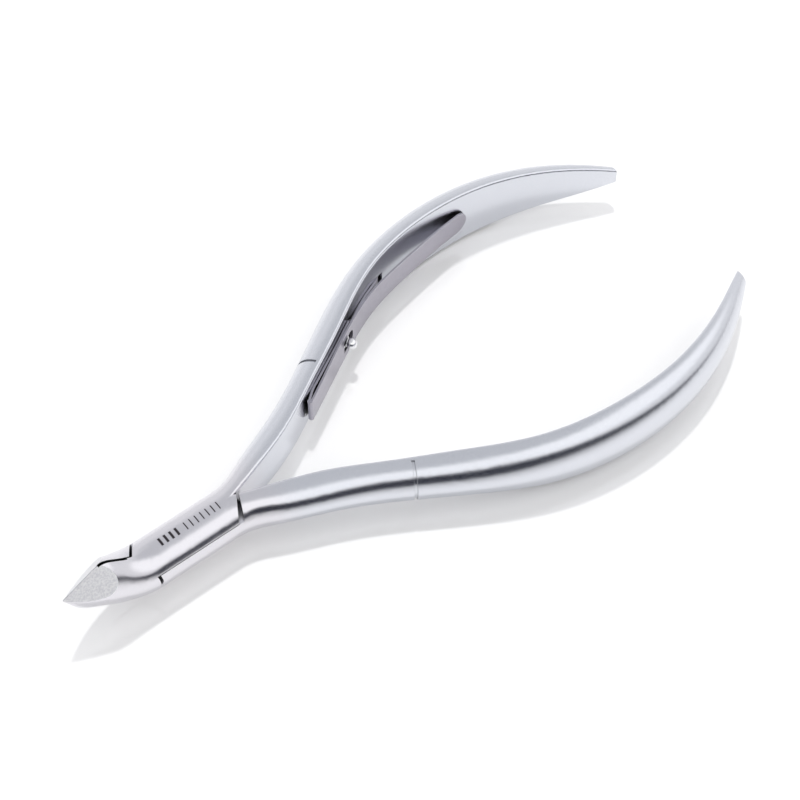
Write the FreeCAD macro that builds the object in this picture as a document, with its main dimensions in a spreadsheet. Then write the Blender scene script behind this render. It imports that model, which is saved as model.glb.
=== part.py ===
"""Cuticle nipper with a lap joint and a latched return spring, in millimetres.

Frame: the origin is on the pivot axis, in the ground flat under the joint.
+X runs from the pivot to the handle ends, +Y to the handle that carries the
spring, +Z up through the joint.  The jaws are closed.

Pieces: upper_lever (near jaw, cap of the joint, far handle), lower_lever
(far jaw, lower lap, near handle), pivot_rivet, spring_root, spring_leaf and
latch_stud.
"""
import FreeCAD, Part
import math
import os

import Sketcher

from FreeCAD import Placement, Rotation, Vector

# ---------------------------------------------------------------- sizes ----
SIZES = {
    # overall
    "jaw_reach": 18.7,            # pivot axis to jaw tip
    "handle_reach": 89.2,         # pivot axis to handle end
    "joint_radius": 3.5,          # half width and half thickness of the joint
    # joint
    "underside_grind": 0.45,      # depth ground off under the joint
    "lap_height": 1.4,            # lap face above the middle plane
    "lap_gap": 0.06,              # running gap between the two laps
    "seam_gap": 0.04,             # gap between the closed jaws
    "past_centre": 0.3,           # each half blank starts this far past the seam
    "past_rounding": 0.02,        # its edge rounding ends this far past the seam
    "lap_reach": 8.2,             # lap end on the centre line, from the pivot
    "round_reach": 6.4,           # the joint is round this far from the pivot
    "lap_slant": 31.0,            # lap ends lean back by this, degrees
    "front_slit": 0.45,           # lap end to jaw shoulder
    "back_slit": 0.35,            # lap end to handle shoulder, on the centre
    "back_wedge": 7.0,            # handle shoulder opens by this, degrees
    "parting_depth": 0.12,        # line cut round the joint at the lap face
    "parting_height": 0.2,
    "parting_length": 12.6,
    # pivot rivet
    "rivet_radius": 1.1,
    "rivet_head_radius": 1.6,
    "rivet_head_depth": 0.8,
    "rivet_cap_left": 0.8,        # steel left above the rivet in the cap
    "rivet_clearance": 0.03,      # radial, in the lower lever only
    # jaws
    "heel_setback": 5.6,          # tip to heel of the cutting edge
    "tip_height": 4.0,            # above the middle plane
    "heel_height": 6.8,
    "bevel_corner_setback": 6.7,  # tip to widest corner of the bevel
    "bevel_corner_width": 2.85,   # from the cutting plane
    "bevel_corner_height": 3.5,
    "scoop_back": 4.7,            # heel to back end of the scoop behind the edge
    "scoop_drop": 2.8,            # back end of the scoop below the heel
    "scoop_depth": 0.7,           # below the line between its ends
    "scoop_rise": 20.0,           # scoop floor rises outwards by this, degrees
    "clear_width": 0.22,          # gap ground into each jaw behind the edge
    # marks on the handles
    "groove_station": 30.0,
    "groove_width": 0.45,
    "groove_depth": 0.28,
    "groove_margin": 0.7,         # plain stretch beside the inner face
    "handle_edge": 0.45,          # rounding along the inner face
    # return spring
    "strip": 0.34,                # strip thickness
    "fold_station": 25.2,
    "fold_standoff": 0.7,         # fold axis above the handle face
    "fold_radius": 0.4,
    "fold_clearance": 0.08,
    "fold_lip": 0.05,             # fold stands this far above the leaf
    "root_width": 3.9,            # strip width at the fold
    "stud_width": 4.7,            # strip width at the stud
    "root_pad_end": 39.5,         # station where the root leg narrows
    "tongue_width": 1.8,
    "face_clearance": 0.05,       # strip to handle face
    "slot_station": 47.0,
    "slot_length": 3.2,
    "slot_height": 1.9,
    "slot_depth": 1.1,
    "tongue_dip": 0.8,            # tongue end below the handle face
    "leaf_end": 65.6,
    "toe_width": 3.7,
    "leaf_rise": 0.75,            # leaf above the face at the stud
    "leaf_bow": 1.75,             # leaf above the face over the belly
    "leaf_shoulder": 1.35,        # leaf above the face before the toe
    "toe_gap": 0.12,              # parked toe to handle face
    # latch stud and its window in the leaf
    "stud_station": 36.4,
    "stud_shank_radius": 0.55,
    "stud_seat": 1.6,             # shank length in the handle
    "stud_flange_radius": 0.95,
    "stud_flange": 0.3,
    "stud_neck_radius": 0.5,
    "stud_head_radius": 0.9,
    "stud_head_rise": 1.5,        # centre of the ball above the face
    "window_length": 3.3,
    "window_width": 2.3,
    "window_offset": 0.45,        # window centre ahead of the stud
}

# Lofted half of the tool, section by section from the jaw tip to the handle
# end.  Each section is D-shaped: a flat inner side and a rounded outer side.
# reach: share of the jaw or handle reach; inner: inner side from the centre
# plane; depth: across the section; middle and half: centre and half of the
# height; power: 2 is an ellipse, less is more like a roof.
JAW_SECTIONS = {
    #            reach  depth  middle  half  power
    "tip":      (1.000, 0.12, 3.90, 0.25, 1.80),
    "point":    (0.941, 0.80, 3.40, 1.90, 1.80),
    "beak":     (0.856, 1.65, 3.00, 3.20, 1.80),
    "heel":     (0.749, 2.50, 2.60, 3.80, 1.75),
    "bevel":    (0.642, 3.00, 1.90, 4.60, 1.65),
    "cheek":    (0.508, 3.30, 0.75, 3.90, 1.90),
}
HANDLE_SECTIONS = {
    #            reach  inner  depth  half
    "crotch":   (0.096, 0.20, 3.70, 3.48),
    "root":     (0.128, 1.20, 4.00, 3.45),
    "neck":     (0.215, 4.15, 4.50, 3.50),
    "flare":    (0.305, 8.60, 4.45, 3.65),
    "waist":    (0.395, 13.20, 4.85, 4.00),
    "grip":     (0.507, 18.70, 4.35, 4.80),
    "belly":    (0.641, 21.40, 4.25, 5.20),
    "palm":     (0.776, 20.90, 4.05, 4.75),
    "tail":     (0.888, 17.90, 3.65, 3.70),
    "taper":    (0.955, 15.05, 2.95, 2.55),
    "end":      (1.000, 12.95, 2.10, 1.35),
}
JOINT_SECTIONS = 8                          # even steps along the round part of the joint


def new_sheet(doc):
    """Put every size in a spreadsheet cell with its own alias."""
    sheet = doc.addObject("Spreadsheet::Sheet", "Sizes")
    values = dict(SIZES)
    for name, row in JAW_SECTIONS.items():
        for column, value in zip(("reach", "depth", "middle", "half", "power"), row):
            values["%s_%s" % (name, column)] = value
    for name, row in HANDLE_SECTIONS.items():
        for column, value in zip(("reach", "inner", "depth", "half"), row):
            values["%s_%s" % (name, column)] = value
    for row, (name, value) in enumerate(values.items(), start=1):
        sheet.set("A%d" % row, name)
        sheet.set("B%d" % row, str(value))
        sheet.setAlias("B%d" % row, name)
    doc.recompute()
    return sheet


doc = FreeCAD.newDocument("cuticle_nipper")
sheet = new_sheet(doc)


def size(name):
    """Value of one sheet cell."""
    return float(sheet.get(name))


def lift():
    """Height of the middle plane above the ground flat under the joint."""
    return size("joint_radius") - size("underside_grind")


FAR_OUT = 4 * size("handle_reach")          # larger than the tool, for half spaces
ARC_POINTS = 13                             # on the rounded side of a section
LOFT_DEGREE = 5


# ------------------------------------------------------- lofted half tool ----
def d_section(x, inner, depth, middle, half, power, edge):
    """Closed D-shaped wire in the plane at x, flat side towards -Y."""
    start = inner + edge
    outer = []
    for step in range(ARC_POINTS):
        angle = math.pi / 2 - math.pi * step / (ARC_POINTS - 1)
        across = abs(math.cos(angle)) ** (2 / power)
        rise = math.copysign(abs(math.sin(angle)) ** (2 / power), math.sin(angle))
        outer.append(Vector(x, start + (depth - edge) * across, middle + half * rise))
    round_side = Part.BSplineCurve()
    round_side.interpolate(Points=outer, Parameters=[float(n) for n in range(ARC_POINTS)])
    top = middle + half - edge
    bottom = middle - half + edge
    slope = edge * math.sqrt(0.5)
    top_edge = Part.Arc(
        Vector(x, inner, top),
        Vector(x, start - slope, top + slope),
        Vector(x, start, middle + half),
    )
    bottom_edge = Part.Arc(
        Vector(x, start, middle - half),
        Vector(x, start - slope, bottom - slope),
        Vector(x, inner, bottom),
    )
    flat = Part.LineSegment(Vector(x, inner, bottom), Vector(x, inner, top))
    return Part.Wire([part.toShape() for part in (flat, top_edge, round_side, bottom_edge)])


def jaw_wires():
    """Sections from the tip back to the joint."""
    wires = []
    for name in JAW_SECTIONS:
        half = size(name + "_half")
        past = min(size("past_centre"), half / 2)
        wires.append(d_section(
            -size("jaw_reach") * size(name + "_reach"), -past, size(name + "_depth") + past,
            size(name + "_middle"), half, size(name + "_power"), past - size("past_rounding"),
        ))
    return wires


def joint_wires():
    """Sections through the joint, half of a round bar."""
    past = size("past_centre")
    radius = size("joint_radius")
    reach = size("round_reach")
    return [
        d_section(
            reach * (2 * step / JOINT_SECTIONS - 1), -past, radius + past, 0, radius, 2.0,
            past - size("past_rounding"),
        )
        for step in range(JOINT_SECTIONS + 1)
    ]


def handle_wires(inset=0.0):
    """Sections from behind the joint to the handle end, less the inset outside."""
    wires = []
    for name in HANDLE_SECTIONS:
        half = size(name + "_half") - inset
        depth = size(name + "_depth") - inset
        wires.append(d_section(
            size("handle_reach") * size(name + "_reach"), size(name + "_inner"),
            depth, 0, half, 2.0, min(size("handle_edge"), half / 2, depth / 2),
        ))
    return wires


def far_half():
    """The +Y side of the tool: a jaw blank and a handle blank that overlap at the pivot."""
    joint = joint_wires()
    middle = len(joint) // 2
    front = Part.makeLoft(jaw_wires() + joint[:middle + 2], True, False, False, LOFT_DEGREE)
    back = Part.makeLoft(joint[middle - 1:] + handle_wires(), True, False, False, LOFT_DEGREE)
    return front, back


# ------------------------------------------------------- cuts in the plan ----
def prism(points, low, high):
    """Upright prism on a polygon given as (x, y) points."""
    corners = [Vector(x, y, low) for x, y in points]
    outline = Part.makePolygon(corners + corners[:1])
    return Part.Face(outline).extrude(Vector(0, 0, high - low))


def slanted(x_centre, angle, side, direction, far):
    """Point at depth `far` on a line that leans back towards the pivot."""
    lean = math.tan(math.radians(angle)) * far
    return (direction * (x_centre - lean), side * far)


def lap_end(side, direction):
    """Plan region of a free lap end: +1 is the back end, -1 the front end."""
    reach = size("lap_reach")
    wide = 3 * size("joint_radius")
    return [
        (0, 0),
        (direction * reach, 0),
        slanted(reach, size("lap_slant"), side, direction, wide),
        (0, side * wide),
    ]


def lap_root(side, direction):
    """Plan region where a lap runs on into its own jaw or handle."""
    reach = size("lap_reach")
    seam = size("seam_gap") / 2
    wide = 3 * size("joint_radius")
    inside = direction * (reach + size("front_slit") + size("back_slit"))
    return [
        (0, 0),
        (direction * reach, 0),
        (direction * reach, side * seam),
        (inside, side * seam),
        (inside, side * wide),
        (0, side * wide),
    ]


def jaw_outline(side):
    """Plan of the full-thickness jaw on the given side."""
    seam = size("seam_gap") / 2
    shoulder = size("lap_reach") + size("front_slit")
    wide = 3 * size("joint_radius")
    return [
        (-FAR_OUT, side * seam),
        (-shoulder, side * seam),
        slanted(shoulder, size("lap_slant"), side, -1, wide),
        (-FAR_OUT, side * wide),
    ]


def handle_outline(side):
    """Plan of the full-thickness handle on the given side."""
    seam = size("seam_gap") / 2
    shoulder = size("lap_reach") + size("back_slit")
    slant = size("lap_slant") - size("back_wedge")
    wide = 3 * size("joint_radius")
    return [
        (shoulder, side * seam),
        (FAR_OUT, side * seam),
        (FAR_OUT, side * FAR_OUT),
        (shoulder, side * FAR_OUT),
        slanted(shoulder, slant, side, 1, wide),
    ]


def bevel_tool(side):
    """Half space above the ground bevel of the jaw on the given side."""
    tip = Vector(-size("jaw_reach"), 0, size("tip_height"))
    heel = tip + Vector(size("heel_setback"), 0, size("heel_height") - size("tip_height"))
    corner = tip + Vector(
        size("bevel_corner_setback"), side * size("bevel_corner_width"),
        size("bevel_corner_height") - size("tip_height"),
    )
    normal = (heel - tip).cross(corner - tip)
    if normal.z < 0:
        normal = normal * -1
    reach = size("jaw_reach")
    slab = Part.makeBox(2 * reach, 2 * reach, reach, Vector(-reach, -reach, 0))
    slab.Placement = Placement(tip, Rotation(Vector(0, 0, 1), normal))
    return slab


def scoop_tool(side):
    """Grinding wheel that scoops one jaw behind its cutting edge."""
    heel = Vector(size("heel_setback") - size("jaw_reach"), 0, size("heel_height"))
    chord = Vector(size("scoop_back"), 0, -size("scoop_drop"))
    up = Vector(size("scoop_drop"), 0, size("scoop_back")).normalize()
    depth = size("scoop_depth")
    radius = (chord.Length ** 2 / 4 + depth ** 2) / (2 * depth)
    rise = math.radians(size("scoop_rise"))
    axis = Vector(0, side * math.cos(rise), math.sin(rise))
    centre = heel + chord * 0.5 + up * (radius - depth)
    return Part.makeCylinder(radius, size("jaw_reach"), centre, axis)


def clearance_tool(side):
    """Upright plate that parts the jaws between the heel and the joint."""
    width = size("clear_width")
    heel = size("heel_setback") - size("jaw_reach")
    length = size("scoop_back") + size("front_slit")
    tall = 2 * size("jaw_reach")
    corner = Vector(heel, min(0, side * width), -tall / 2)
    return Part.makeBox(length, width, tall, corner)


def jaw(front, side):
    """Near or far jaw, ground to its cutting edge."""
    blank = front.common(prism(jaw_outline(side), -FAR_OUT, FAR_OUT))
    return blank.cut([bevel_tool(side), scoop_tool(side), clearance_tool(side)])


def handle(back, side):
    """Handle from its shoulder behind the joint to its end."""
    return back.common(prism(handle_outline(side), -FAR_OUT, FAR_OUT))


def lap(halves, side, upper):
    """Lap of the joint: the cap if upper, else the lower lap."""
    gap = size("lap_gap") / 2
    face = size("lap_height")
    low, high = (face + gap, FAR_OUT) if upper else (-FAR_OUT, face - gap)
    quarters = []
    for bank, (front, back) in halves.items():
        for direction, blank in ((-1, front), (1, back)):
            free = (bank == side) == (direction < 0)
            outline = lap_end(bank, direction) if free else lap_root(bank, direction)
            quarters.append(blank.common(prism(outline, low, high)))
    return quarters[0].fuse(quarters[1:])


def forging(halves, upper):
    """One whole lever before its bores are drilled."""
    side = 1 if upper else -1
    pieces = [jaw(halves[-side][0], -side), handle(halves[side][1], side)]
    return lap(halves, side, upper).fuse(pieces)


# ------------------------------------------------- handle face and its frame ----
class HandleFace:
    """Flat inner face of the handle on +Y, probed on the finished blank."""

    def __init__(self, blank):
        self.blank = blank

    def offset(self, x):
        """Distance of the face from the centre plane at x."""
        reach = size("handle_reach")
        probe = Part.makeLine(Vector(x, -reach, 0), Vector(x, reach, 0))
        inside = self.blank.common(probe)
        return min(vertex.Y for vertex in inside.Vertexes)

    def normal(self, x):
        """Unit vector out of the face, towards the other handle."""
        step = size("strip")
        rise = (self.offset(x + step) - self.offset(x - step)) / (2 * step)
        return Vector(rise, -1, 0).normalize()

    def point(self, x, standoff=0.0):
        """Point above the face at x, in the middle plane."""
        return Vector(x, self.offset(x), 0) + self.normal(x) * standoff

    def frame(self, x, standoff=0.0):
        """Placement with its Z out of the face and its X along the handle."""
        out = self.normal(x)
        along = Vector(-out.y, out.x, 0)
        rotation = Rotation(along, Vector(0, 0, 0), out, "ZXY")
        return Placement(self.point(x, standoff), rotation)


def smooth(points):
    """Curve through the given points."""
    curve = Part.BSplineCurve()
    curve.interpolate(Points=points)
    return curve


def strip_plan(route, low, high):
    """Spring strip of even thickness that follows a route in the plan."""
    curve = smooth(route)
    half = size("strip") / 2
    sides = []
    for bank in (-1, 1):
        rail = []
        for step in range(RAIL_POINTS):
            at = curve.FirstParameter + step * (
                curve.LastParameter - curve.FirstParameter
            ) / (RAIL_POINTS - 1)
            tangent = Vector(*curve.tangent(at)[0])
            rail.append(curve.value(at) + Vector(-tangent.y, tangent.x, 0) * (bank * half))
        sides.append(smooth(rail).toShape())
    ends = [
        Part.makeLine(sides[0].Vertexes[index].Point, sides[1].Vertexes[index].Point)
        for index in (0, 1)
    ]
    outline = Part.Wire(Part.__sortEdges__(sides + ends))
    outline.translate(Vector(0, 0, low))
    return Part.Face(outline).extrude(Vector(0, 0, high - low))


def side_view(points):
    """Slab across the tool on an outline given as (x, z) points or arcs."""
    reach = size("handle_reach")
    outline = Part.Wire(points)
    outline.translate(Vector(0, -reach, 0))
    return Part.Face(outline).extrude(Vector(0, 2 * reach, 0))


RAIL_POINTS = 40                            # along each side of a strip
SEAT_POINTS = 12                            # where the root leg lies on the face


def fold_axis(face):
    """Plan position of the fold, where the leaf turns."""
    return face.point(size("fold_station"), size("fold_standoff"))


def fold_roll(face, extra=0.0):
    """Round fold of the strip, as wide as the strip."""
    width = size("root_width") + 2 * extra
    foot = fold_axis(face) - Vector(0, 0, width / 2)
    return Part.makeCylinder(size("fold_radius") + extra, width, foot)


def leaf_shape(face):
    """Outer leg of the spring, with the fold, before its window is cut."""
    fold = size("fold_station")
    stud = size("stud_station")
    end = size("leaf_end")
    bow = size("leaf_bow")
    half = size("strip") / 2
    rise = size("leaf_rise")
    start = size("fold_standoff") + size("fold_radius") - half - size("fold_lip")
    toe = size("toe_gap") + half
    belly = (stud + end) / 2
    route = [
        face.point(fold, start),
        face.point((fold + stud) / 2, (start + rise) / 2),
        face.point(stud, rise),
        face.point((stud + belly) / 2, (rise + bow) / 2),
        face.point(belly, bow),
        face.point((belly + end) / 2, size("leaf_shoulder")),
        face.point(end, toe),
    ]
    root = size("root_width") / 2
    wide = size("stud_width") / 2
    tip = size("toe_width") / 2
    strip = strip_plan(route, -wide, wide)
    shape = [(fold - root, root), (fold, root), (stud, wide), (end - tip, tip)]
    upper = [Vector(x, 0, z) for x, z in shape]
    lower = [Vector(x, 0, -z) for x, z in shape[::-1]]
    edges = [Part.makeLine(a, b) for side in (upper, lower) for a, b in zip(side, side[1:])]
    edges.insert(len(upper) - 1, Part.Arc(upper[-1], Vector(end, 0, 0), lower[0]).toShape())
    edges.append(Part.makeLine(lower[-1], upper[0]))
    return strip.common(side_view(edges)).fuse(fold_roll(face))


def root_shape(face):
    """Inner leg of the spring, from the fold to its end in the slot."""
    fold = size("fold_station")
    half = size("strip") / 2
    seat = size("face_clearance") + half
    pad_end = size("root_pad_end")
    slot = size("slot_station")
    reach = fold + 2 * size("fold_radius")
    mouth = slot - size("slot_length") / 2 + 2 * size("strip")
    start = reach + 2 * size("fold_radius")
    seated = [start + (mouth - start) * step / SEAT_POINTS for step in range(SEAT_POINTS + 1)]
    under = size("fold_standoff") - size("fold_radius") + half
    route = [face.point(fold, under), face.point(reach, seat + half)]
    route += [face.point(x, seat) for x in seated]
    route.append(face.point(slot + size("slot_length") / 3, half - size("tongue_dip")))
    wide = size("root_width") / 2
    thin = size("tongue_width") / 2
    strip = strip_plan(route, -wide, wide)
    pad = wide - size("fold_clearance")
    neck = pad_end - pad + thin
    shape = [(fold - wide, pad), (neck, pad), (pad_end, thin), (slot + wide, thin)]
    corners = [Vector(x, 0, z) for x, z in shape] + [Vector(x, 0, -z) for x, z in shape[::-1]]
    edges = [Part.makeLine(a, b) for a, b in zip(corners, corners[1:] + corners[:1])]
    leg = strip.common(side_view(edges))
    return leg.cut(fold_roll(face, size("fold_clearance")))


def groove_ring(face):
    """Shallow ring groove round the outer side of the +Y handle."""
    width = size("groove_width")
    frame = face.frame(size("groove_station"))
    core = Part.makeLoft(handle_wires(size("groove_depth")), True, False, False, LOFT_DEGREE)
    block = 4 * size("joint_radius")
    slab = Part.makeBox(width, block, block, Vector(-width / 2, -block / 2, -block))
    slab.translate(Vector(0, 0, -size("groove_margin")))
    slab.Placement = frame.multiply(slab.Placement)
    return slab.cut(core)


def underside_flat():
    """Stock ground off under the joint, running out towards the handle."""
    land = size("underside_grind") - size("joint_radius")
    deep = -2 * size("joint_radius")
    reach = size("lap_reach")
    runout = 4 * size("underside_grind")
    profile = [(-2 * reach, deep), (-2 * reach, land), (reach - runout, land), (2 * reach, deep)]
    corners = [Vector(x, 0, z) for x, z in profile]
    return side_view([Part.makeLine(a, b) for a, b in zip(corners, corners[1:] + corners[:1])])


# ------------------------------------------------------ document helpers ----
def feature(name, shape):
    """Document object that holds a shape made in this file."""
    item = doc.addObject("Part::Feature", name)
    item.Shape = shape
    return item


def cylinder(name, radius, height, placement):
    """Cylinder with its sizes bound to expressions."""
    item = doc.addObject("Part::Cylinder", name)
    item.setExpression("Radius", radius)
    item.setExpression("Height", height)
    item.Placement = placement
    return item


def box(name, length, width, height, placement):
    """Box with its sizes bound to expressions."""
    item = doc.addObject("Part::Box", name)
    item.setExpression("Length", length)
    item.setExpression("Width", width)
    item.setExpression("Height", height)
    item.Placement = placement
    return item


def cut(name, base, tools):
    """Base with the tools taken away, standing at its height in the tool."""
    tool = doc.addObject("Part::MultiFuse", name + "_tools")
    tool.Shapes = tools
    item = doc.addObject("Part::Cut", name)
    item.Base = base
    item.Tool = tool if len(tools) > 1 else tools[0]
    if len(tools) == 1:
        doc.removeObject(tool.Name)
    item.Label = name
    item.Placement = Placement(Vector(0, 0, lift()), Rotation())
    return item


def shifted(frame, along, across, out):
    """Placement moved in its own axes."""
    return frame.multiply(Placement(Vector(along, across, out), Rotation()))


def revolved_body(name, outline):
    """Body turned about its Z axis from (radius, height) expressions."""
    body = doc.addObject("PartDesign::Body", name)
    body.Label = name
    plane = next(item for item in body.Origin.OriginFeatures if item.Role == "XZ_Plane")
    sketch = body.newObject("Sketcher::SketchObject", name + "_profile")
    sketch.AttachmentSupport = [(plane, "")]
    sketch.MapMode = "FlatFace"
    count = len(outline)
    spots = [Vector(math.cos(math.tau * n / count) + 2, math.sin(math.tau * n / count), 0)
             for n in range(count)]
    for index in range(count):
        line = Part.LineSegment(spots[index], spots[(index + 1) % count])
        sketch.addGeometry(line, False)
    for index in range(count):
        sketch.addConstraint(Sketcher.Constraint("Coincident", index, 2, (index + 1) % count, 1))
    for index, (radius, height) in enumerate(outline):
        for kind, rule in (("DistanceX", radius), ("DistanceY", height)):
            number = sketch.addConstraint(Sketcher.Constraint(kind, -1, 1, index, 1, 1.0))
            sketch.setExpression("Constraints[%d]" % number, rule)
    turn = body.newObject("PartDesign::Revolution", name + "_turn")
    turn.Profile = sketch
    turn.ReferenceAxis = (sketch, ["V_Axis"])
    turn.Angle = 360
    return body


# ------------------------------------------------------------- sub-parts ----
def add_parting_line():
    """Shallow line round the joint where the two laps meet."""
    half = size("parting_length") / 2
    plate = box(
        "parting_plate", "Sizes.parting_length", "4 * Sizes.joint_radius", "Sizes.parting_height",
        Placement(Vector(
            -half, -2 * size("joint_radius"), size("lap_height") - size("parting_height") / 2,
        ), Rotation()),
    )
    core = cylinder(
        "parting_core", "Sizes.joint_radius - Sizes.parting_depth", "2 * Sizes.parting_length",
        Placement(Vector(-2 * half, 0, 0), Rotation(Vector(0, 1, 0), 90)),
    )
    line = doc.addObject("Part::Cut", "parting_line")
    line.Base = plate
    line.Tool = core
    return line


def add_upper_lever(halves, face, parting):
    """Near jaw, cap of the joint and far handle, with the spring seat."""
    bore = cylinder(
        "upper_bore", "Sizes.rivet_radius",
        "Sizes.joint_radius - Sizes.rivet_cap_left", Placement(),
    )
    seat = cylinder(
        "stud_bore", "Sizes.stud_shank_radius", "2 * Sizes.stud_seat",
        shifted(face.frame(size("stud_station")), 0, 0, -size("stud_seat")),
    )
    slot = box(
        "tongue_slot", "Sizes.slot_length", "Sizes.slot_height", "2 * Sizes.slot_depth",
        shifted(
            face.frame(size("slot_station")), -size("slot_length") / 2,
            -size("slot_height") / 2, -size("slot_depth"),
        ),
    )
    groove = feature("far_groove", groove_ring(face))
    blank = feature("upper_forging", forging(halves, True))
    return cut("upper_lever", blank, [bore, seat, slot, groove, parting])


def add_lower_lever(halves, face, parting):
    """Far jaw, lower lap and near handle."""
    land = size("joint_radius") - size("underside_grind")
    bore = cylinder(
        "lower_bore", "Sizes.rivet_radius + Sizes.rivet_clearance", "2 * Sizes.joint_radius",
        Placement(Vector(0, 0, -size("joint_radius")), Rotation()),
    )
    sink = doc.addObject("Part::Cone", "rivet_sink")
    sink.setExpression("Radius1", "Sizes.rivet_head_radius + Sizes.rivet_clearance")
    sink.setExpression("Radius2", "Sizes.rivet_radius + Sizes.rivet_clearance")
    sink.setExpression("Height", "Sizes.rivet_head_depth")
    sink.Placement = Placement(Vector(0, 0, -land), Rotation())
    flat = feature("underside_flat", underside_flat())
    ring = groove_ring(face).mirror(Vector(0, 0, 0), Vector(0, 1, 0))
    groove = feature("near_groove", ring)
    blank = feature("lower_forging", forging(halves, False))
    return cut("lower_lever", blank, [bore, sink, flat, groove, parting])


def add_pivot_rivet():
    """Rivet pressed into the cap, with its flush head under the joint."""
    land = "Sizes.underside_grind - Sizes.joint_radius"
    top = "Sizes.joint_radius - Sizes.rivet_cap_left"
    body = revolved_body("pivot_rivet", [
        ("0", land),
        ("Sizes.rivet_head_radius", land),
        ("Sizes.rivet_radius", land + " + Sizes.rivet_head_depth"),
        ("Sizes.rivet_radius", top),
        ("0", top),
    ])
    body.Placement = Placement(Vector(0, 0, lift()), Rotation())
    return body


def add_latch_stud(face):
    """Headed stud that clamps the root leg and latches the leaf."""
    seat = "2 * Sizes.face_clearance + Sizes.strip"
    flange = seat + " + Sizes.stud_flange"
    body = revolved_body("latch_stud", [
        ("0", "-Sizes.stud_seat"),
        ("Sizes.stud_shank_radius", "-Sizes.stud_seat"),
        ("Sizes.stud_shank_radius", seat),
        ("Sizes.stud_flange_radius", seat),
        ("Sizes.stud_flange_radius", flange),
        ("Sizes.stud_neck_radius", flange),
        ("Sizes.stud_neck_radius", "Sizes.stud_head_rise"),
        ("0", "Sizes.stud_head_rise"),
    ])
    ball = body.newObject("PartDesign::AdditiveSphere", "stud_head")
    ball.setExpression("Radius", "Sizes.stud_head_radius")
    ball.AttachmentOffset = Placement(Vector(0, 0, size("stud_head_rise")), Rotation())
    plane = next(item for item in body.Origin.OriginFeatures if item.Role == "XY_Plane")
    ball.AttachmentSupport = [(plane, "")]
    ball.MapMode = "FlatFace"
    body.Placement = Placement(Vector(0, 0, lift()), Rotation()).multiply(
        face.frame(size("stud_station"))
    )
    return body


def add_spring_root(face):
    """Inner leg of the spring, clamped by the stud and hooked in the slot."""
    hole = cylinder(
        "root_hole", "Sizes.stud_shank_radius", "4 * Sizes.strip",
        shifted(face.frame(size("stud_station")), 0, 0, -2 * size("strip")),
    )
    return cut("spring_root", feature("root_strip", root_shape(face)), [hole])


def add_spring_leaf(face):
    """Outer leg of the spring with the fold and the window for the stud."""
    frame = face.frame(size("stud_station"), size("leaf_rise"))
    deep = 4 * size("strip")
    wide = size("window_width")
    ahead = size("window_offset")
    length = size("window_length")
    window = box(
        "window", "Sizes.window_length - Sizes.window_width / 2", "Sizes.window_width",
        "8 * Sizes.strip", shifted(frame, ahead - length / 2, -wide / 2, -deep),
    )
    round_end = cylinder(
        "window_end", "Sizes.window_width / 2", "8 * Sizes.strip",
        shifted(frame, ahead + length / 2 - wide / 2, 0, -deep),
    )
    return cut("spring_leaf", feature("leaf_strip", leaf_shape(face)), [window, round_end])


def build():
    """Make every sub-part and return them."""
    far = far_half()
    near = tuple(blank.mirror(Vector(0, 0, 0), Vector(0, 1, 0)) for blank in far)
    halves = {-1: near, 1: far}
    face = HandleFace(far[1])
    parting = add_parting_line()
    return [
        add_upper_lever(halves, face, parting),
        add_lower_lever(halves, face, parting),
        add_pivot_rivet(),
        add_spring_root(face),
        add_spring_leaf(face),
        add_latch_stud(face),
    ]


def check(nodes):
    """Stop on a failed object or a shape that is empty or broken."""
    for item in doc.Objects:
        if "Invalid" in item.State or "Error" in item.State:
            raise RuntimeError("%s failed" % item.Name)
    for node in nodes:
        if node.Shape.isNull() or not node.Shape.isValid():
            raise RuntimeError("%s has no valid shape" % node.Label)
        if len(node.Shape.Solids) != 1:
            raise RuntimeError("%s is %d solids" % (node.Label, len(node.Shape.Solids)))


nodes = build()
doc.recompute()
check(nodes)
os.makedirs("parts", exist_ok=True)
for node in nodes:
    node.Shape.exportStep(os.path.join("parts", node.Label + ".step"))
    low, high = node.Shape.BoundBox.ZMin, node.Shape.BoundBox.ZMax
    print("%s: %.1f mm3, z %.2f to %.2f" % (node.Label, node.Shape.Volume, low, high))
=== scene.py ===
"""Cuticle nipper: finishes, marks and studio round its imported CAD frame."""

import logging
import math
from dataclasses import dataclass
from enum import Enum
from typing import Any

import bmesh
import bpy
from mathutils import Matrix, Vector


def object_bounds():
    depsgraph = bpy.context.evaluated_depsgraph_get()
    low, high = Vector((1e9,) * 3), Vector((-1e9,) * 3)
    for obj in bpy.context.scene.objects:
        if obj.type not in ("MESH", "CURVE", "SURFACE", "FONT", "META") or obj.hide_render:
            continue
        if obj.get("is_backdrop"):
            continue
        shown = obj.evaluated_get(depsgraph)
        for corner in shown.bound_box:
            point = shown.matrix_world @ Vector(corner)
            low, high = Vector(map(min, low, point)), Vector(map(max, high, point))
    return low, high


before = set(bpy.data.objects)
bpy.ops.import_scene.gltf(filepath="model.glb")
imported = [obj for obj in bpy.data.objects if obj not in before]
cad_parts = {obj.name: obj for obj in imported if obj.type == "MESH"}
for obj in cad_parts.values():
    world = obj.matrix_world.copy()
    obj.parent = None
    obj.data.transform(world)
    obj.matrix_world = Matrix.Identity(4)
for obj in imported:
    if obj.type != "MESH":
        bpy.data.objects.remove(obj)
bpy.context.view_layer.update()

log = logging.getLogger("nipper")
MM = 0.001
CLOUD_PITCH = 8.0 * MM        # size of the clouds in the grain
CLOUD_SWING = 0.3             # share of the tone that they move
PIT_RANGE = (0.3, 0.7)        # noise that is the floor of a pit, and its rim
EDGE_MATCH = (0.995, 0.85)    # agreement of normals on a face, and at an edge
SLIT_LIGHT = (0.55, 0.25)     # light left beside a slit, and deep in it
SLIT_ROUGHNESS = 0.55         # unpolished steel inside slits
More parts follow.
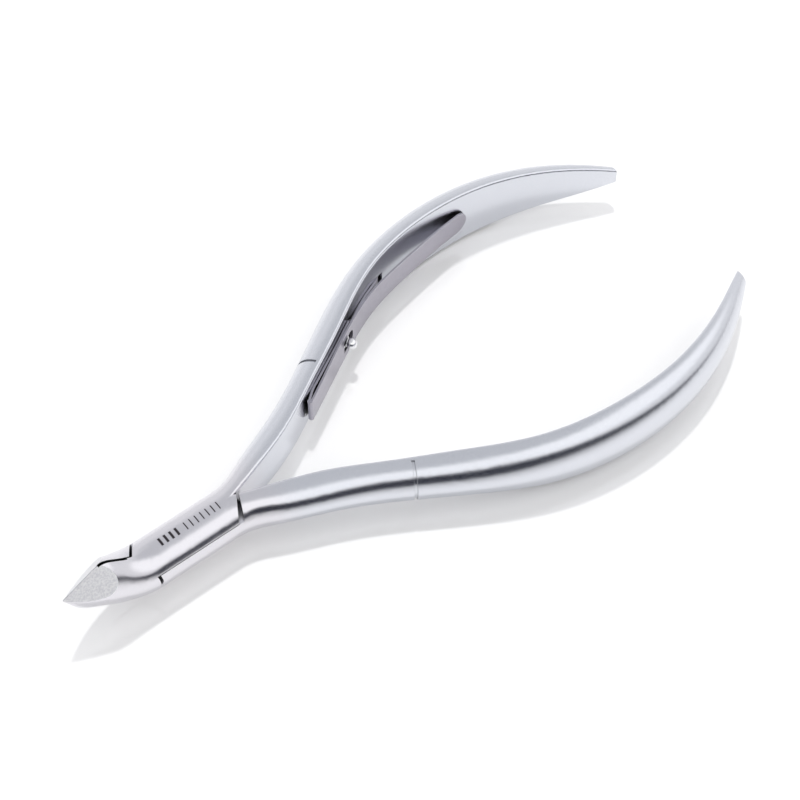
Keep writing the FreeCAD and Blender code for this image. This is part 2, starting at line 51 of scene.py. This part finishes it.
PLANE_FADE = (1.0, 0.5)       # share of the reach where a plane's mask starts and is full
Colour = tuple[float, float, float]


# ----------------------------------------------------------------- shader tools ----
class Recipe:
    """A node tree being wired, with short calls for common nodes."""

    def __init__(self, tree: bpy.types.NodeTree) -> None:
        """Keep the tree.

        Args:
            tree: The material's or group's node tree.
        """
        self.tree = tree

    def add(self, kind: str, settings: dict[str, Any] | None = None, **inputs: Any) -> Any:
        """Add a node and fill or link its inputs.

        Args:
            kind: Node type without the ShaderNode prefix.
            settings: Node properties to set.
            inputs: Socket names, with spaces written as _, and values or sockets.

        Returns:
            The node.
        """
        node = self.tree.nodes.new("ShaderNode" + kind)
        for name, value in (settings or {}).items():
            setattr(node, name, value)
        for name, value in inputs.items():
            self.feed(node.inputs[name.replace("_", " ")], value)
        return node

    def feed(self, socket: Any, value: Any) -> None:
        """Link or set an input socket.

        Args:
            socket: Input socket of a node.
            value: Socket to link from, or a plain value.
        """
        if isinstance(value, bpy.types.NodeSocket):
            self.tree.links.new(value, socket)
        else:
            socket.default_value = value

    def math(self, operation: str, *values: Any) -> Any:
        """Add a Math node.

        Args:
            operation: Name of the operation.
            values: Up to three numbers or sockets.

        Returns:
            The result's socket.
        """
        node = self.tree.nodes.new("ShaderNodeMath")
        node.operation = operation
        for socket, value in zip(node.inputs, values):
            self.feed(socket, value)
        return node.outputs[0]

    def vector(self, operation: str, first: Any, second: Any, output: str = "Vector") -> Any:
        """Add a Vector Math node.

        Args:
            operation: Name of the operation.
            first: First vector or its socket.
            second: Second vector or its socket.
            output: Output to read, Vector or Value.

        Returns:
            The output's socket.
        """
        node = self.tree.nodes.new("ShaderNodeVectorMath")
        node.operation = operation
        self.feed(node.inputs[0], first)
        self.feed(node.inputs[1], second)
        return node.outputs[output]

    def ramp(self, value: Any, low: float, high: float) -> Any:
        """Smooth step from 0 to 1.

        Args:
            value: Socket to read.
            low: Value that gives 0.
            high: Value that gives 1; it may be below low.

        Returns:
            The step's socket.
        """
        node = self.add("MapRange", {"interpolation_type": "SMOOTHSTEP"})
        for socket, number in zip(node.inputs, (value, low, high, 0.0, 1.0)):
            self.feed(socket, number)
        return node.outputs[0]

    def mix(self, share: Any, first: Any, second: Any) -> Any:
        """Mix two colours.

        Args:
            share: Share of the second colour.
            first: Colour or socket at share 0.
            second: Colour or socket at share 1.

        Returns:
            The mixed colour's socket.
        """
        node = self.add("Mix", {"data_type": "RGBA"})
        self.feed(node.inputs[0], share)
        self.feed(node.inputs[6], first)
        self.feed(node.inputs[7], second)
        return node.outputs[2]

    def blend(self, share: Any, first: Any, second: Any) -> Any:
        """Mix two numbers.

        Args:
            share: Share of the second number.
            first: Number or socket at share 0.
            second: Number or socket at share 1.

        Returns:
            The mixed number's socket.
        """
        node = self.add("Mix", {"data_type": "FLOAT"})
        self.feed(node.inputs[0], share)
        self.feed(node.inputs[2], first)
        self.feed(node.inputs[3], second)
        return node.outputs[0]


def rgba(colour: Colour) -> tuple[float, float, float, float]:
    """Colour with full alpha."""
    return (*colour, 1.0)


def new_group(name: str, inputs: dict[str, Any], outputs: dict[str, str]) -> tuple[Any, Any, Any]:
    """Start a shader node group.

    Args:
        name: Name of the group.
        inputs: Input names and their default values; three numbers make a vector.
        outputs: Output names and their socket types.

    Returns:
        The recipe, the group's input node and its output node.
    """
    tree = bpy.data.node_groups.new(name, "ShaderNodeTree")
    for label, value in inputs.items():
        kind = "NodeSocketVector" if isinstance(value, tuple) else "NodeSocketFloat"
        tree.interface.new_socket(label, in_out="INPUT", socket_type=kind).default_value = value
    for label, kind in outputs.items():
        tree.interface.new_socket(label, in_out="OUTPUT", socket_type=kind)
    recipe = Recipe(tree)
    return recipe, tree.nodes.new("NodeGroupInput"), tree.nodes.new("NodeGroupOutput")


def use_group(recipe: Recipe, name: str, **inputs: Any) -> Any:
    """Place a finished group in a tree.

    Args:
        recipe: Tree being wired.
        name: Name of the group.
        inputs: Input names, with spaces written as _, and values or sockets.

    Returns:
        The group node's outputs.
    """
    node = recipe.tree.nodes.new("ShaderNodeGroup")
    node.node_tree = bpy.data.node_groups[name]
    for label, value in inputs.items():
        recipe.feed(node.inputs[label.replace("_", " ")], value)
    return node.outputs


def build_grain_group() -> None:
    """Blasted grain: tiny pits with a faint, broad cloudiness."""
    recipe, given, out = new_group(
        "blasted_grain",
        {"Vector": (0.0, 0.0, 0.0), "Pitch": 0.1},
        {"Height": "NodeSocketFloat", "Tone": "NodeSocketFloat"},
    )
    place = recipe.vector("SCALE", given.outputs["Vector"], (0.0, 0.0, 0.0))
    per_metre = recipe.math("DIVIDE", 1.0 / MM, given.outputs["Pitch"])
    recipe.feed(place.node.inputs["Scale"], per_metre)
    fine = recipe.add("TexNoise", Vector=place, Scale=1.0, Detail=2.0, Roughness=0.6)
    broad = recipe.add(
        "TexNoise", Vector=given.outputs["Vector"], Scale=1.0 / CLOUD_PITCH, Detail=2.0
    )
    pits = recipe.ramp(fine.outputs[0], *PIT_RANGE)
    recipe.feed(out.inputs["Height"], pits)
    cloud = recipe.math("MULTIPLY_ADD", broad.outputs[0], CLOUD_SWING, -CLOUD_SWING / 2)
    recipe.feed(out.inputs["Tone"], recipe.math("ADD", pits, cloud))


def build_edge_group() -> None:
    """Mask of sharp edges, where a rounded normal leaves the face's own, for a painted highlight.
    """
    recipe, given, out = new_group(
        "rounded_edge",
        {"Reach": 0.08 * MM},
        {"Edge": "NodeSocketFloat", "Normal": "NodeSocketVector"},
    )
    soft = recipe.add("Bevel", {"samples": 6}, Radius=given.outputs["Reach"])
    plain = recipe.add("NewGeometry")
    match = recipe.vector("DOT_PRODUCT", soft.outputs[0], plain.outputs["Normal"], "Value")
    recipe.feed(out.inputs["Edge"], recipe.ramp(match, *EDGE_MATCH))
    recipe.feed(out.inputs["Normal"], soft.outputs[0])


def build_recess_group() -> None:
    """Mask of slits, grooves and narrow gaps between parts, which get painted shade and rough,
    unpolished steel.
    """
    recipe, given, out = new_group(
        "recess", {"Reach": 0.4 * MM}, {"Mask": "NodeSocketFloat"}
    )
    shut = recipe.add("AmbientOcclusion", {"samples": 8}, Distance=given.outputs["Reach"])
    recipe.feed(out.inputs["Mask"], recipe.ramp(shut.outputs["AO"], *SLIT_LIGHT))


def build_plane_group() -> None:
    """Mask of the points that lie in a plane."""
    recipe, given, out = new_group(
        "on_plane",
        {"Vector": (0.0, 0.0, 0.0), "Point": (0.0, 0.0, 0.0), "Normal": (0.0, 0.0, 1.0),
         "Reach": 0.03 * MM},
        {"Mask": "NodeSocketFloat"},
    )
    away = recipe.vector("SUBTRACT", given.outputs["Vector"], given.outputs["Point"])
    depth = recipe.vector("DOT_PRODUCT", away, given.outputs["Normal"], "Value")
    share = recipe.math("DIVIDE", recipe.math("ABSOLUTE", depth), given.outputs["Reach"])
    recipe.feed(out.inputs["Mask"], recipe.ramp(share, *PLANE_FADE))


# ---------------------------------------------------------------------- finishes ----
class Grain(Enum):
    """Pitch of the blasted or ground grain, in millimetres."""

    FINE = 0.085
    MEDIUM = 0.18
    COARSE = 0.26


@dataclass(frozen=True)
class Steel:
    """One steel finish.

    colour and dark are the high and low tones of the grain; roughness and spread
    are its mean and its swing; depth is the height of the grain in millimetres.
    """

    colour: Colour
    dark: Colour
    roughness: float
    spread: float
    grain: Grain
    depth: float


BLASTED = Steel((0.725, 0.74, 0.785), (0.63, 0.645, 0.69), 0.19, 0.06, Grain.FINE, 0.0010)
BURNISHED = Steel((0.74, 0.73, 0.765), (0.68, 0.67, 0.705), 0.18, 0.04, Grain.FINE, 0.0004)
GROUND = Steel((0.99, 0.99, 0.995), (0.84, 0.84, 0.865), 0.62, 0.10, Grain.COARSE, 0.007)
SPRING = Steel((0.44, 0.425, 0.475), (0.36, 0.345, 0.395), 0.30, 0.05, Grain.MEDIUM, 0.0006)
RIVET = Steel((0.68, 0.68, 0.70), (0.56, 0.56, 0.58), 0.30, 0.08, Grain.MEDIUM, 0.002)
POLISHED = Steel((0.85, 0.85, 0.86), (0.78, 0.78, 0.80), 0.16, 0.04, Grain.MEDIUM, 0.0003)


class FinishMixer:
    """A Principled material put together from steel finishes by masks."""

    def __init__(self, name: str, base: Steel, edge_reach: float, recess_reach: float) -> None:
        """Start the material.

        Args:
            name: Material name.
            base: Finish wherever no mask is set.
            edge_reach: Rounding of the edges, in metres, which also sets the width of their
                painted highlight.
            recess_reach: Depth of the slits that count as recesses, in metres.
        """
        self.material = bpy.data.materials.new(name)
        self.material.use_nodes = True
        self.recipe = Recipe(self.material.node_tree)
        self.shader = self.material.node_tree.nodes["Principled BSDF"]
        self.shader.inputs["Metallic"].default_value = 1.0
        self.place = self.recipe.add("TexCoord").outputs["Object"]
        self.edge = use_group(self.recipe, "rounded_edge", Reach=edge_reach)
        self.recess = use_group(self.recipe, "recess", Reach=recess_reach)["Mask"]
        self.edge_highlight_mask = self.edge["Edge"]
        self.tone, self.rough, self.height = self.layer(base)

    def layer(self, steel: Steel) -> tuple[Any, Any, Any]:
        """Wire one finish.

        Args:
            steel: The finish.

        Returns:
            Sockets of its colour, roughness and height.
        """
        recipe = self.recipe
        grain = use_group(recipe, "blasted_grain", Vector=self.place, Pitch=steel.grain.value)
        tone = recipe.mix(grain["Tone"], rgba(steel.dark), rgba(steel.colour))
        rough = recipe.math("MULTIPLY_ADD", grain["Tone"], steel.spread, steel.roughness)
        height = recipe.math("MULTIPLY", grain["Height"], steel.depth * MM)
        return tone, rough, height

    def cover(self, mask: Any, steel: Steel) -> None:
        """Lay another finish over the first.

        Args:
            mask: Socket that is 1 where the new finish shows.
            steel: The new finish.
        """
        tone, rough, height = self.layer(steel)
        self.tone = self.recipe.mix(mask, self.tone, tone)
        self.rough = self.recipe.blend(mask, self.rough, rough)
        self.height = self.recipe.blend(mask, self.height, height)

    def tint(self, mask: Any, colour: Colour) -> None:
        """Colour the surface where the mask socket is 1."""
        self.tone = self.recipe.mix(mask, self.tone, rgba(colour))

    def sink(self, mask: Any, depth: float) -> None:
        """Lower the surface, by a depth in metres, where the mask socket is 1."""
        drop = self.recipe.math("MULTIPLY", mask, -depth)
        self.height = self.recipe.math("ADD", self.height, drop)

    def finish(self, edge_highlight_tone: Colour, painted_shade_tone: Colour) -> bpy.types.Material:
        """Paint a highlight on the edges, paint shade into the recesses and wire the shader.

        Args:
            edge_highlight_tone: Colour of the painted highlight on the edges.
            painted_shade_tone: Colour of the painted shade deep in the slits and gaps.

        Returns:
            The material.
        """
        recipe = self.recipe
        # Painted highlight: the edges are brightened in colour, as if they caught the light.
        self.tint(self.edge_highlight_mask, edge_highlight_tone)
        # Painted shade: slits, grooves and gaps between parts are darkened in colour, by ambient
        # occlusion.
        self.tint(self.recess, painted_shade_tone)
        self.rough = recipe.blend(self.recess, self.rough, SLIT_ROUGHNESS)
        bump = recipe.add(
            "Bump", Distance=1.0, Height=self.height, Normal=self.edge["Normal"]
        )
        recipe.feed(self.shader.inputs["Base Color"], self.tone)
        recipe.feed(self.shader.inputs["Roughness"], self.rough)
        recipe.feed(self.shader.inputs["Normal"], bump.outputs[0])
        return self.material


# ------------------------------------------------------------------------ levers ----
@dataclass
class Levers:
    """The two forged levers: blasted handles, burnished joint and ground jaws."""

    middle: float = 3.05 * MM
    tip_x: float = -18.7 * MM
    tip_rise: float = 4.0 * MM
    heel_back: float = 5.6 * MM
    heel_climb: float = 2.8 * MM
    corner_back: float = 6.7 * MM
    corner_width: float = 2.85 * MM
    corner_climb: float = -0.5 * MM
    bevel_end: float = -10.5 * MM
    bevel_fade: float = 0.5 * MM
    joint_end: float = 9.0 * MM
    handle_start: float = 16.0 * MM
    mark_start: float = -4.4 * MM
    mark_pitch: float = 0.86 * MM
    mark_side: float = -0.15 * MM
    mark_tall: float = 0.62 * MM
    mark_blur: float = 0.03 * MM
    bar_blur: float = 0.05
    mark_floor: float = 2.0 * MM
    mark_gap: float = 0.6
    mark_depth: float = 0.01 * MM
    thick_marks: int = 4
    thick_share: float = 0.42
    thin_marks: int = 7
    thin_share: float = 0.20
    edge_reach: float = 0.07 * MM
    # This reach is wide, so the painted shade also darkens the handle's face beside the spring
    # leaf.
    recess_reach: float = 1.1 * MM
    mark_tone: Colour = (0.06, 0.055, 0.06)
    mark_roughness: float = 0.5
    # Colour of the painted highlight on the edges of the joint and jaws.
    edge_highlight_tone: Colour = (0.92, 0.92, 0.94)
    # Colour of the painted shade in the slits and between the parts.
    painted_shade_tone: Colour = (0.012, 0.012, 0.016)

    def bevel_planes(self) -> list[tuple[Vector, Vector]]:
        """Planes of the two ground bevels of the jaws.

        Returns:
            A point and a normal for each.
        """
        tip = Vector((self.tip_x, 0.0, self.middle + self.tip_rise))
        heel = Vector((self.heel_back, 0.0, self.heel_climb))
        planes = []
        for side in (-1, 1):
            corner = Vector((self.corner_back, side * self.corner_width, self.corner_climb))
            normal = heel.cross(corner).normalized()
            planes.append((tip, normal if normal.z > 0 else -normal))
        return planes

    def ground_mask(self, mixer: FinishMixer) -> Any:
        """Mask of the ground bevels.

        Args:
            mixer: Material being built.

        Returns:
            The mask's socket.
        """
        recipe = mixer.recipe
        masks = [
            use_group(recipe, "on_plane", Vector=mixer.place, Point=point, Normal=normal)["Mask"]
            for point, normal in self.bevel_planes()
        ]
        both = recipe.math("MAXIMUM", *masks)
        along = recipe.add("SeparateXYZ", Vector=mixer.place).outputs["X"]
        jaws = recipe.ramp(along, self.bevel_end, self.bevel_end - self.bevel_fade)
        return recipe.math("MULTIPLY", both, jaws)

    def joint_mask(self, mixer: FinishMixer) -> Any:
        """Mask of the joint and jaws, fading out along the handles.

        Args:
            mixer: Material being built.

        Returns:
            The mask's socket.
        """
        along = mixer.recipe.add("SeparateXYZ", Vector=mixer.place).outputs["X"]
        return mixer.recipe.ramp(along, self.handle_start, self.joint_end)

    def bar_mask(self, mixer: FinishMixer, start: float, count: int, width: float) -> Any:
        """Mask of a row of etched bars across the top of the cap.

        Args:
            mixer: Material being built.
            start: X of the first bar, in metres.
            count: Number of bars.
            width: Width of a bar as a share of the pitch.

        Returns:
            The mask's socket.
        """
        recipe = mixer.recipe
        axes = recipe.add("SeparateXYZ", Vector=mixer.place)
        ahead_of_row = recipe.math("SUBTRACT", axes.outputs["X"], start)
        steps = recipe.math("DIVIDE", ahead_of_row, self.mark_pitch)
        phase = recipe.math("FRACT", steps)
        centred = recipe.math("ABSOLUTE", recipe.math("SUBTRACT", phase, 0.5))
        half = width / 2
        bars = recipe.ramp(centred, half + self.bar_blur, half - self.bar_blur)
        ahead = recipe.math("GREATER_THAN", steps, 0.0)
        behind = recipe.math("LESS_THAN", steps, float(count))
        across = recipe.math("SUBTRACT", axes.outputs["Y"], self.mark_side)
        off_row = recipe.math("ABSOLUTE", across)
        row = recipe.ramp(
            off_row, self.mark_tall + self.mark_blur, self.mark_tall - self.mark_blur
        )
        top = recipe.math("GREATER_THAN", axes.outputs["Z"], self.middle + self.mark_floor)
        mask = bars
        for part in (ahead, behind, row, top):
            mask = recipe.math("MULTIPLY", mask, part)
        return mask

    def build_steel(self) -> bpy.types.Material:
        """Build the steel of both levers.

        Returns:
            The material.
        """
        mixer = FinishMixer("satin_steel", BLASTED, self.edge_reach, self.recess_reach)
        joint = self.joint_mask(mixer)
        # The painted edge highlight is kept to the joint and jaws.
        mixer.edge_highlight_mask = mixer.recipe.math("MULTIPLY", mixer.edge_highlight_mask, joint)
        mixer.cover(joint, BURNISHED)
        mixer.cover(self.ground_mask(mixer), GROUND)
        thick = self.bar_mask(mixer, self.mark_start, self.thick_marks, self.thick_share)
        thin_start = self.mark_start + (self.thick_marks + self.mark_gap) * self.mark_pitch
        thin = self.bar_mask(mixer, thin_start, self.thin_marks, self.thin_share)
        etched = mixer.recipe.math("MAXIMUM", thick, thin)
        mixer.tint(etched, self.mark_tone)
        mixer.rough = mixer.recipe.blend(etched, mixer.rough, self.mark_roughness)
        mixer.sink(etched, self.mark_depth)
        return mixer.finish(self.edge_highlight_tone, self.painted_shade_tone)

    def dress(self) -> None:
        """Give both levers their finish."""
        steel = self.build_steel()
        for node in ("upper_lever", "lower_lever"):
            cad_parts[node].data.materials[0] = steel
            log.info("dressed %s", node)


@dataclass
class ReturnSpring:
    """Folded strip spring with its stud and the pivot rivet.

    Each reach is a pair, in metres: the rounding of the edges, which carry a painted highlight,
    and the recesses, which carry painted shade.
    """

    strip_reach: tuple[float, float] = (0.07 * MM, 0.8 * MM)
    stud_reach: tuple[float, float] = (0.05 * MM, 0.3 * MM)
    rivet_reach: tuple[float, float] = (0.05 * MM, 0.2 * MM)
    # Colour of the painted highlight on the edges of the strip, stud and rivet.
    edge_highlight_tone: Colour = (0.86, 0.86, 0.88)
    # Colour of the painted shade in the slits and between the parts.
    painted_shade_tone: Colour = (0.015, 0.015, 0.02)

    def dress(self) -> None:
        """Give the strip, the stud and the rivet their finishes."""
        strip = FinishMixer("spring_steel", SPRING, *self.strip_reach)
        strip = strip.finish(self.edge_highlight_tone, self.painted_shade_tone)
        for node in ("spring_root", "spring_leaf"):
            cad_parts[node].data.materials[0] = strip
        stud = FinishMixer("polished_steel", POLISHED, *self.stud_reach)
        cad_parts["latch_stud"].data.materials[0] = stud.finish(self.edge_highlight_tone, self.painted_shade_tone)
        rivet = FinishMixer("rivet_steel", RIVET, *self.rivet_reach)
        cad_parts["pivot_rivet"].data.materials[0] = rivet.finish(self.edge_highlight_tone, self.painted_shade_tone)
        log.info("dressed the spring, stud and rivet")


# ------------------------------------------------------------------------ studio ----
@dataclass
class Studio:
    """Floor, sky, lamps and camera."""

    floor_size: float = 8.0
    floor_drop: float = 0.02 * MM
    floor_tone: Colour = (0.95, 0.945, 0.935)
    floor_roughness: float = 0.06
    floor_shine: float = 0.9
    floor_glow: float = 0.07
    azimuth: float = 38.24
    elevation: float = 53.29
    roll: float = -0.485
    distance: float = 250.24 * MM
    target: tuple[float, float, float] = (36.313 * MM, 0.3135 * MM, 3.05 * MM)
    lens: float = 80.27685
    sensor: float = 36.0
    clip_start: float = 1.0 * MM
    dark_side: tuple[float, float, float] = (0.30, -0.95, 0.0)
    bank: tuple[float, float] = (0.0, 0.35)
    dark_top: tuple[float, float] = (0.42, 0.29)
    dark_lean: float = 0.36
    box_foot: tuple[float, float] = (0.32, 0.50)
    box_head: tuple[float, float] = (0.97, 0.85)
    roof: tuple[float, float] = (0.35, 0.8)
    low_tone: Colour = (0.98, 0.98, 1.0)
    roof_tone: Colour = (0.72, 0.73, 0.76)
    box_tone: Colour = (1.35, 1.35, 1.36)
    dark_tone: Colour = (0.012, 0.014, 0.03)
    sky_strength: float = 0.95
    sun_rise: float = 67.0
    sun_turn: float = 38.0
    sun_power: float = 1.0
    sun_width: float = 4.0

    def build_floor(self) -> None:
        """Plain white glossy floor."""
        mesh = bpy.data.meshes.new("floor")
        form = bmesh.new()
        bmesh.ops.create_grid(form, x_segments=1, y_segments=1, size=self.floor_size / 2)
        form.to_mesh(mesh)
        form.free()
        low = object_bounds()[0]
        floor = bpy.data.objects.new("floor", mesh)
        floor.location = (self.target[0], self.target[1], low[2] - self.floor_drop)
        bpy.context.scene.collection.objects.link(floor)
        material = bpy.data.materials.new("floor_white")
        material.use_nodes = True
        shader = material.node_tree.nodes["Principled BSDF"]
        shader.inputs["Base Color"].default_value = rgba(self.floor_tone)
        shader.inputs["Roughness"].default_value = self.floor_roughness
        shader.inputs["Specular IOR Level"].default_value = self.floor_shine
        shader.inputs["Emission Color"].default_value = rgba((1.0, 1.0, 1.0))
        shader.inputs["Emission Strength"].default_value = self.floor_glow
        mesh.materials.append(material)
        floor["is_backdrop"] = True

    def build_sky(self) -> None:
        """Pale sky, with a lit panel and a dark foot on the near side."""
        world = bpy.data.worlds.new("studio")
        world.use_nodes = True
        bpy.context.scene.world = world
        recipe = Recipe(world.node_tree)
        background = world.node_tree.nodes["Background"]
        place = recipe.add("TexCoord").outputs["Generated"]
        axes = recipe.add("SeparateXYZ", Vector=place)
        height = axes.outputs["Z"]
        level = recipe.math("MULTIPLY_ADD", axes.outputs["X"], self.dark_lean, height)
        towards = recipe.vector("DOT_PRODUCT", place, self.dark_side, "Value")
        near = recipe.ramp(towards, *self.bank)
        low = recipe.ramp(level, *self.dark_top)
        foot = recipe.ramp(height, *self.box_foot)
        head = recipe.ramp(height, *self.box_head)
        box = recipe.math("MULTIPLY", foot, head)
        roof = recipe.ramp(height, *self.roof)
        sky = recipe.mix(roof, rgba(self.low_tone), rgba(self.roof_tone))
        sky = recipe.mix(recipe.math("MULTIPLY", box, near), sky, rgba(self.box_tone))
        dark = recipe.math("MULTIPLY", low, near)
        tone = recipe.mix(dark, sky, rgba(self.dark_tone))
        recipe.feed(background.inputs["Color"], tone)
        background.inputs["Strength"].default_value = self.sky_strength

    def build_lamp(self) -> None:
        """Soft lamp high behind, which lays a pale shadow in front."""
        data = bpy.data.lights.new("back_lamp", "SUN")
        data.energy = self.sun_power
        data.angle = math.radians(self.sun_width)
        lamp = bpy.data.objects.new("back_lamp", data)
        turn, rise = math.radians(self.sun_turn), math.radians(self.sun_rise)
        towards = Vector((
            math.cos(rise) * math.sin(turn), math.cos(rise) * math.cos(turn), math.sin(rise)
        ))
        lamp.rotation_euler = towards.to_track_quat("Z", "Y").to_euler()
        lamp.visible_glossy = False
        bpy.context.scene.collection.objects.link(lamp)

    def build_camera(self) -> None:
        """Camera at the product view."""
        turn, rise = math.radians(self.azimuth), math.radians(self.elevation)
        ahead = Vector((
            math.cos(rise) * math.sin(turn), math.cos(rise) * math.cos(turn), -math.sin(rise)
        ))
        side = Vector((math.cos(turn), -math.sin(turn), 0.0))
        over = side.cross(ahead)
        tilt = math.radians(self.roll)
        right = side * math.cos(tilt) + over * math.sin(tilt)
        up = over * math.cos(tilt) - side * math.sin(tilt)
        data = bpy.data.cameras.new("camera")
        data.sensor_width = self.sensor
        data.lens = self.lens
        data.clip_start = self.clip_start
        camera = bpy.data.objects.new("camera", data)
        place = Vector(self.target) - ahead * self.distance
        basis = Matrix((right, up, -ahead)).transposed().to_4x4()
        camera.matrix_world = Matrix.Translation(place) @ basis
        bpy.context.scene.collection.objects.link(camera)
        bpy.context.scene.camera = camera


def main() -> None:
    """Build the finishes, the pieces and the studio."""
    logging.basicConfig(level=logging.INFO)
    bpy.context.scene.view_settings.view_transform = "Standard"
    build_grain_group()
    build_edge_group()
    build_plane_group()
    build_recess_group()
    studio = Studio()
    studio.build_camera()
    studio.build_sky()
    studio.build_lamp()
    studio.build_floor()
    Levers().dress()
    ReturnSpring().dress()


if __name__ == "__main__":
    main()
